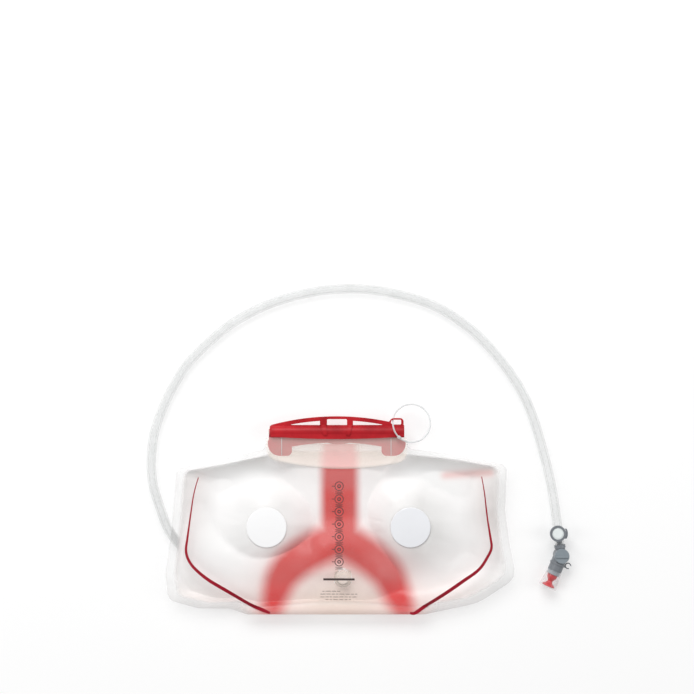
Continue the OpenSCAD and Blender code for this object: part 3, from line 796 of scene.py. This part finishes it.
def noise_at(nt, scale, detail):
    """Noise in the piece's own coordinates."""
    tc = nt.nodes.new("ShaderNodeTexCoord")
    n = nt.nodes.new("ShaderNodeTexNoise")
    n.inputs["Scale"].default_value = scale
    n.inputs["Detail"].default_value = detail
    nt.links.new(tc.outputs["Object"], n.inputs["Vector"])
    return n


def ramp(nt, source, low, high, a=0.0, b=1.0):
    """The source taken from a..b to low..high."""
    r = nt.nodes.new("ShaderNodeMapRange")
    r.inputs["From Min"].default_value = a
    r.inputs["From Max"].default_value = b
    r.inputs["To Min"].default_value = low
    r.inputs["To Max"].default_value = high
    nt.links.new(source, r.inputs["Value"])
    return r.outputs["Result"]


def math_node(nt, op, a, b):
    n = nt.nodes.new("ShaderNodeMath")
    n.operation = op
    for i, v in enumerate((a, b)):
        if isinstance(v, (int, float)):
            n.inputs[i].default_value = v
        else:
            nt.links.new(v, n.inputs[i])
    return n.outputs[0]


def mix_color(nt, fac, a, b):
    n = nt.nodes.new("ShaderNodeMix")
    n.data_type = "RGBA"
    if isinstance(fac, (int, float)):
        n.inputs[0].default_value = fac
    else:
        nt.links.new(fac, n.inputs[0])
    for i, v in ((6, a), (7, b)):
        if isinstance(v, tuple):
            n.inputs[i].default_value = (*v, 1)
        else:
            nt.links.new(v, n.inputs[i])
    return n.outputs[2]


def attribute(nt, name):
    n = nt.nodes.new("ShaderNodeAttribute")
    n.attribute_name = name
    return n.outputs["Fac"]


def bump(nt, bsdf, height, distance, strength=0.5):
    b = nt.nodes.new("ShaderNodeBump")
    b.inputs["Strength"].default_value = strength
    b.inputs["Distance"].default_value = distance
    nt.links.new(height, b.inputs["Height"])
    nt.links.new(b.outputs[0], bsdf.inputs["Normal"])


def plastic(name, color, dark, rough, grain=900, specular=0.5, coat=0.0, bump_d=0.00006,
            spread=0.5, glow=0.0):
    """Moulded plastic: colour that drifts a little, uneven gloss, a fine grain."""
    m, nt, b = material(name)
    n1 = noise_at(nt, 45, 4)
    n2 = noise_at(nt, grain, 3)
    drift = ramp(nt, n1.outputs["Fac"], 0, spread, 0.35, 0.65)
    nt.links.new(mix_color(nt, drift, color, dark), b.inputs["Base Color"])
    gloss = ramp(nt, n1.outputs["Fac"], rough * 0.85, min(1, rough * 1.2), 0.3, 0.7)
    nt.links.new(gloss, b.inputs["Roughness"])
    b.inputs["Specular IOR Level"].default_value = specular
    b.inputs["Emission Color"].default_value = (*color, 1)
    b.inputs["Emission Strength"].default_value = glow
    b.inputs["Coat Weight"].default_value = coat
    b.inputs["Coat Roughness"].default_value = 0.12
    bump(nt, b, n2.outputs["Fac"], bump_d)
    return m


WARM_CREAM = (0.85, 0.70, 0.61)
TINT_PINK = (0.80, 0.24, 0.20)
INK_RED = (0.60, 0.036, 0.030)
INK_LOW = (0.67, 0.006, 0.004)      # towards the bottom
# A lighter copy of the ink, used under the flap: painted light.
INK_PAINTED_LIGHT = (0.91, 0.36, 0.38)       # under the flap
# How much more the back film glows under the flap and along the bottom: painted light.
PAINTED_GLOW_EXTRA = 0.42


def film(name, color, deep, clear, weld_clear, grazing, printed=False, glow=0.0):
    """Translucent film: clear from behind, so that its two faces count once, and denser seen edge on.

    clear is its opacity face on, weld_clear its opacity along a weld; deep is the grey of its painted
    shade, and glow an even painted light of its own colour."""
    m, nt, b = material(name)
    n1 = noise_at(nt, 22, 4)
    n2 = noise_at(nt, 260, 3)
    patches = ramp(nt, n1.outputs["Fac"], 0.75, 1.15, 0.3, 0.7)
    # Painted shade: the film's colour goes towards deep, a grey, where it steepens and round the baffles.
    shade = math_node(nt, "MULTIPLY", attribute(nt, "shade"), patches)
    base = mix_color(nt, shade, color, deep)
    facing = nt.nodes.new("ShaderNodeLayerWeight")
    facing.inputs["Blend"].default_value = 0.5
    alpha = math_node(nt, "ADD", math_node(nt, "MULTIPLY", facing.outputs["Facing"], grazing), clear)
    alpha = math_node(nt, "ADD", alpha, ramp(nt, n1.outputs["Fac"], -0.02, 0.03, 0.35, 0.65))
    weld = attribute(nt, "weld")
    mixer = nt.nodes.new("ShaderNodeMix")
    mixer.data_type = "FLOAT"
    nt.links.new(weld, mixer.inputs[0])
    nt.links.new(alpha, mixer.inputs[2])
    mixer.inputs[3].default_value = weld_clear
    alpha = mixer.outputs[0]
    if printed:
        base = mix_color(nt, math_node(nt, "MULTIPLY", attribute(nt, "warm"), 0.8), base, WARM_CREAM)
        base = mix_color(nt, attribute(nt, "tint"), base, TINT_PINK)
        ink = attribute(nt, "print")
        painted_glow = attribute(nt, "painted_glow")
        ink_color = mix_color(nt, attribute(nt, "deep"), INK_RED, INK_LOW)
        # Painted light: the ink turns to its lighter copy under the flap.
        ink_color = mix_color(nt, attribute(nt, "pale"), ink_color, INK_PAINTED_LIGHT)
        base = mix_color(nt, ink, base, ink_color)
        alpha = math_node(nt, "MAXIMUM", alpha, math_node(nt, "MULTIPLY", ink, 0.98))
    sides = nt.nodes.new("ShaderNodeNewGeometry")
    alpha = math_node(nt, "MULTIPLY", alpha, math_node(nt, "SUBTRACT", 1.0, sides.outputs["Backfacing"]))
    nt.links.new(base, b.inputs["Base Color"])
    nt.links.new(base, b.inputs["Emission Color"])
    b.inputs["Emission Strength"].default_value = glow
    # Painted light: the back film glows harder under the flap and along the bottom.
    if printed:
        nt.links.new(ramp(nt, painted_glow, glow, glow + PAINTED_GLOW_EXTRA), b.inputs["Emission Strength"])
    nt.links.new(math_node(nt, "MINIMUM", alpha, 1.0), b.inputs["Alpha"])
    nt.links.new(ramp(nt, n1.outputs["Fac"], 0.26, 0.40, 0.3, 0.7), b.inputs["Roughness"])
    b.inputs["Specular IOR Level"].default_value = 0.4
    bump(nt, b, n2.outputs["Fac"], 0.00005, 0.4)
    return m


def paint(obj, m):
    """Gives a piece its one material."""
    obj.data.materials.clear()
    obj.data.materials.append(m)


# Each film's glow is painted light: an even light of the film's own colour, strongest in the flap, standing
# in for light that gets through the layers.
M_front = film("m_film_front", (0.92, 0.92, 0.92), (0.70, 0.695, 0.69), 0.05, 0.13, 0.22, glow=0.04)
M_back = film("m_film_back", (0.915, 0.912, 0.907), (0.70, 0.69, 0.675), 0.92, 0.20, 0.0,
              printed=True, glow=0.04)
M_flap = film("m_film_flap", (0.95, 0.86, 0.775), (0.90, 0.81, 0.72), 0.13, 0.06, 0.05, glow=0.36)
paint(film_front, M_front)
paint(film_back, M_back)
paint(flap_rear, M_flap)
paint(flap_front, M_flap)

M_ink_red = plastic("m_ink_red", (0.35, 0.009, 0.026), (0.28, 0.007, 0.018), 0.5, 700, 0.2)
M_ink_grey = plastic("m_ink_grey", (0.085, 0.062, 0.062), (0.12, 0.085, 0.085), 0.6, 700, 0.1)
for n in ("line_left", "line_right"):
    paint(bpy.data.objects[n], M_ink_red)
paint(bpy.data.objects["markings"], M_ink_grey)

# Both baffles are the same white weld; the left one gets a lighter white with a little glow and the right a
# greyer, bluer one: painted light on the left disc and painted shade on the right.
M_white = plastic("m_white_weld", (0.86, 0.87, 0.90), (0.82, 0.83, 0.86), 0.35, 500)
M_white_lit = plastic("m_white_lit", (0.93, 0.93, 0.935), (0.90, 0.90, 0.905), 0.45, 500, glow=0.04)
# The glow of the milky port parts, the rail and the seals is painted light.
M_milky = plastic("m_milky", (0.88, 0.79, 0.72), (0.86, 0.77, 0.70), 0.5, 500, 0.2, glow=0.08)
M_red = plastic("m_red_gloss", (0.53, 0.018, 0.026), (0.26, 0.005, 0.010), 0.40, 1200, 0.20,
                0.0, 0.00004, spread=0.7)
M_rail = plastic("m_red_rail", (0.46, 0.028, 0.060), (0.36, 0.020, 0.045), 0.35, 800, glow=0.04, spread=0.8)
M_grey = plastic("m_grey", (0.200, 0.215, 0.235), (0.155, 0.170, 0.190), 0.38, 1400, 0.5, 0.0, 0.00008)
M_dial = plastic("m_grey_dial", (0.265, 0.305, 0.335), (0.215, 0.250, 0.280), 0.34, 1400, 0.5, 0.0, 0.00008)
M_light = plastic("m_grey_light", (0.33, 0.36, 0.39), (0.28, 0.31, 0.34), 0.36, 1400)
M_silicone = plastic("m_red_silicone", (0.66, 0.016, 0.026), (0.52, 0.010, 0.018), 0.30, 600, 0.5, 0.15)
M_face = plastic("m_face", (0.84, 0.89, 0.885), (0.80, 0.85, 0.845), 0.25, 600)
M_seal = plastic("m_seal", (0.90, 0.82, 0.75), (0.86, 0.78, 0.71), 0.6, 900, 0.2, glow=0.08)
# Painted shade for the valve's slit.
M_slit_shade = plastic("m_slit_shade", (0.12, 0.004, 0.006), (0.10, 0.003, 0.005), 0.6, 900)
M_steel = plastic("m_steel", (0.62, 0.62, 0.64), (0.5, 0.5, 0.52), 0.25, 900)
M_steel.node_tree.nodes["Principled BSDF"].inputs["Metallic"].default_value = 1.0


def clear_plastic(name, color, low, edge, rough, power, glow=0.0):
    """Clear moulded plastic: opacity low face on, and more by edge where it is seen edge on."""
    m, nt, b = material(name)
    n1 = noise_at(nt, 60, 3)
    facing = nt.nodes.new("ShaderNodeLayerWeight")
    facing.inputs["Blend"].default_value = power
    alpha = math_node(nt, "ADD", math_node(nt, "MULTIPLY", facing.outputs["Facing"], edge), low)
    alpha = math_node(nt, "ADD", alpha, ramp(nt, n1.outputs["Fac"], -0.02, 0.03, 0.3, 0.7))
    nt.links.new(math_node(nt, "MINIMUM", math_node(nt, "MAXIMUM", alpha, 0.0), 1.0), b.inputs["Alpha"])
    b.inputs["Base Color"].default_value = (*color, 1)
    b.inputs["Emission Color"].default_value = (*color, 1)
    b.inputs["Emission Strength"].default_value = glow
    nt.links.new(ramp(nt, n1.outputs["Fac"], rough * 0.8, rough * 1.3, 0.3, 0.7), b.inputs["Roughness"])
    b.inputs["Specular IOR Level"].default_value = 0.5
    bump(nt, b, n1.outputs["Fac"], 0.0001, 0.3)
    return m


M_hose = clear_plastic("m_hose", (0.72, 0.74, 0.735), 0.07, 0.30, 0.15, 0.5)
M_cap = clear_plastic("m_cap", (0.86, 0.84, 0.85), 0.02, 0.36, 0.06, 0.4)
M_leash = clear_plastic("m_leash", (0.80, 0.82, 0.825), 0.52, 0.30, 0.25, 0.5)
# The poppet's and the port's glow is painted light, so that they fade into the film round them.
M_poppet = plastic("m_poppet", (0.76, 0.66, 0.60), (0.73, 0.63, 0.57), 0.5, 500, 0.2, glow=0.17)
M_port = clear_plastic("m_port", (0.88, 0.78, 0.71), 0.10, 0.03, 0.6, 0.5, glow=0.25)
paint(neck_welds, M_leash)
paint(hose, M_hose)
paint(leash, M_leash)
paint(bead, M_leash)
paint(mouth_valve, M_silicone)
paint(slit_shade_piece, M_slit_shade)
paint(seal_port, M_seal)
paint(seal_valve, M_seal)

for names, m in (
        (("baffle_left",), M_white_lit),
        (("baffle_right",), M_white),
        (("fold_rail",), M_rail),
        (("port_base",), M_port),
        (("port_poppet",), M_poppet),
        (("port_elbow", "port_clip"), M_milky),
        (("valve_rotor",), M_light),
        (("port_spring",), M_steel),
        (("slider",), M_red),
        (("valve_body", "tether_loop", "clip_body"), M_grey),
        (("shutoff_dial",), M_dial),
        (("valve_spigot",), M_light),
        (("clip_face",), M_face),
        (("dust_cap",), M_cap)):
    for n in names:
        paint(frame["nodes"][n], m)

# ---------------------------------------------------------------- stage and light
bpy.ops.mesh.primitive_plane_add(size=24, location=(0, 0.1, -0.0004))
floor = bpy.context.object
floor.name = "floor"
M_floor, _, floor_shader = material("m_floor")
floor_shader.inputs["Base Color"].default_value = (0.57, 0.57, 0.57, 1)
floor_shader.inputs["Emission Color"].default_value = (1, 1, 1, 1)
floor_shader.inputs["Emission Strength"].default_value = 0.44
floor_shader.inputs["Roughness"].default_value = 0.9
floor_shader.inputs["Specular IOR Level"].default_value = 0.0
paint(floor, M_floor)


def area(name, place, size, power):
    """A white rectangular light aimed at the origin."""
    light = bpy.data.lights.new(name, "AREA")
    light.shape = "RECTANGLE"
    light.size, light.size_y = size
    light.energy = power
    obj = bpy.data.objects.new(name, light)
    obj.location = place
    obj.rotation_euler = (-Vector(place)).to_track_quat("-Z", "Y").to_euler()
    bpy.context.scene.collection.objects.link(obj)


area("key", (-0.3, 1.5, 1.6), (1.6, 1.0), 34)
area("fill_left", (-1.8, 0.2, 1.5), (0.8, 1.6), 13)
area("fill_right", (1.9, 0.1, 1.5), (0.8, 1.6), 13)
world = bpy.data.worlds.new("world")
bpy.context.scene.world = world
world.use_nodes = True
world.node_tree.nodes["Background"].inputs[0].default_value = (1, 1, 1, 1)
world.node_tree.nodes["Background"].inputs[1].default_value = 0.28
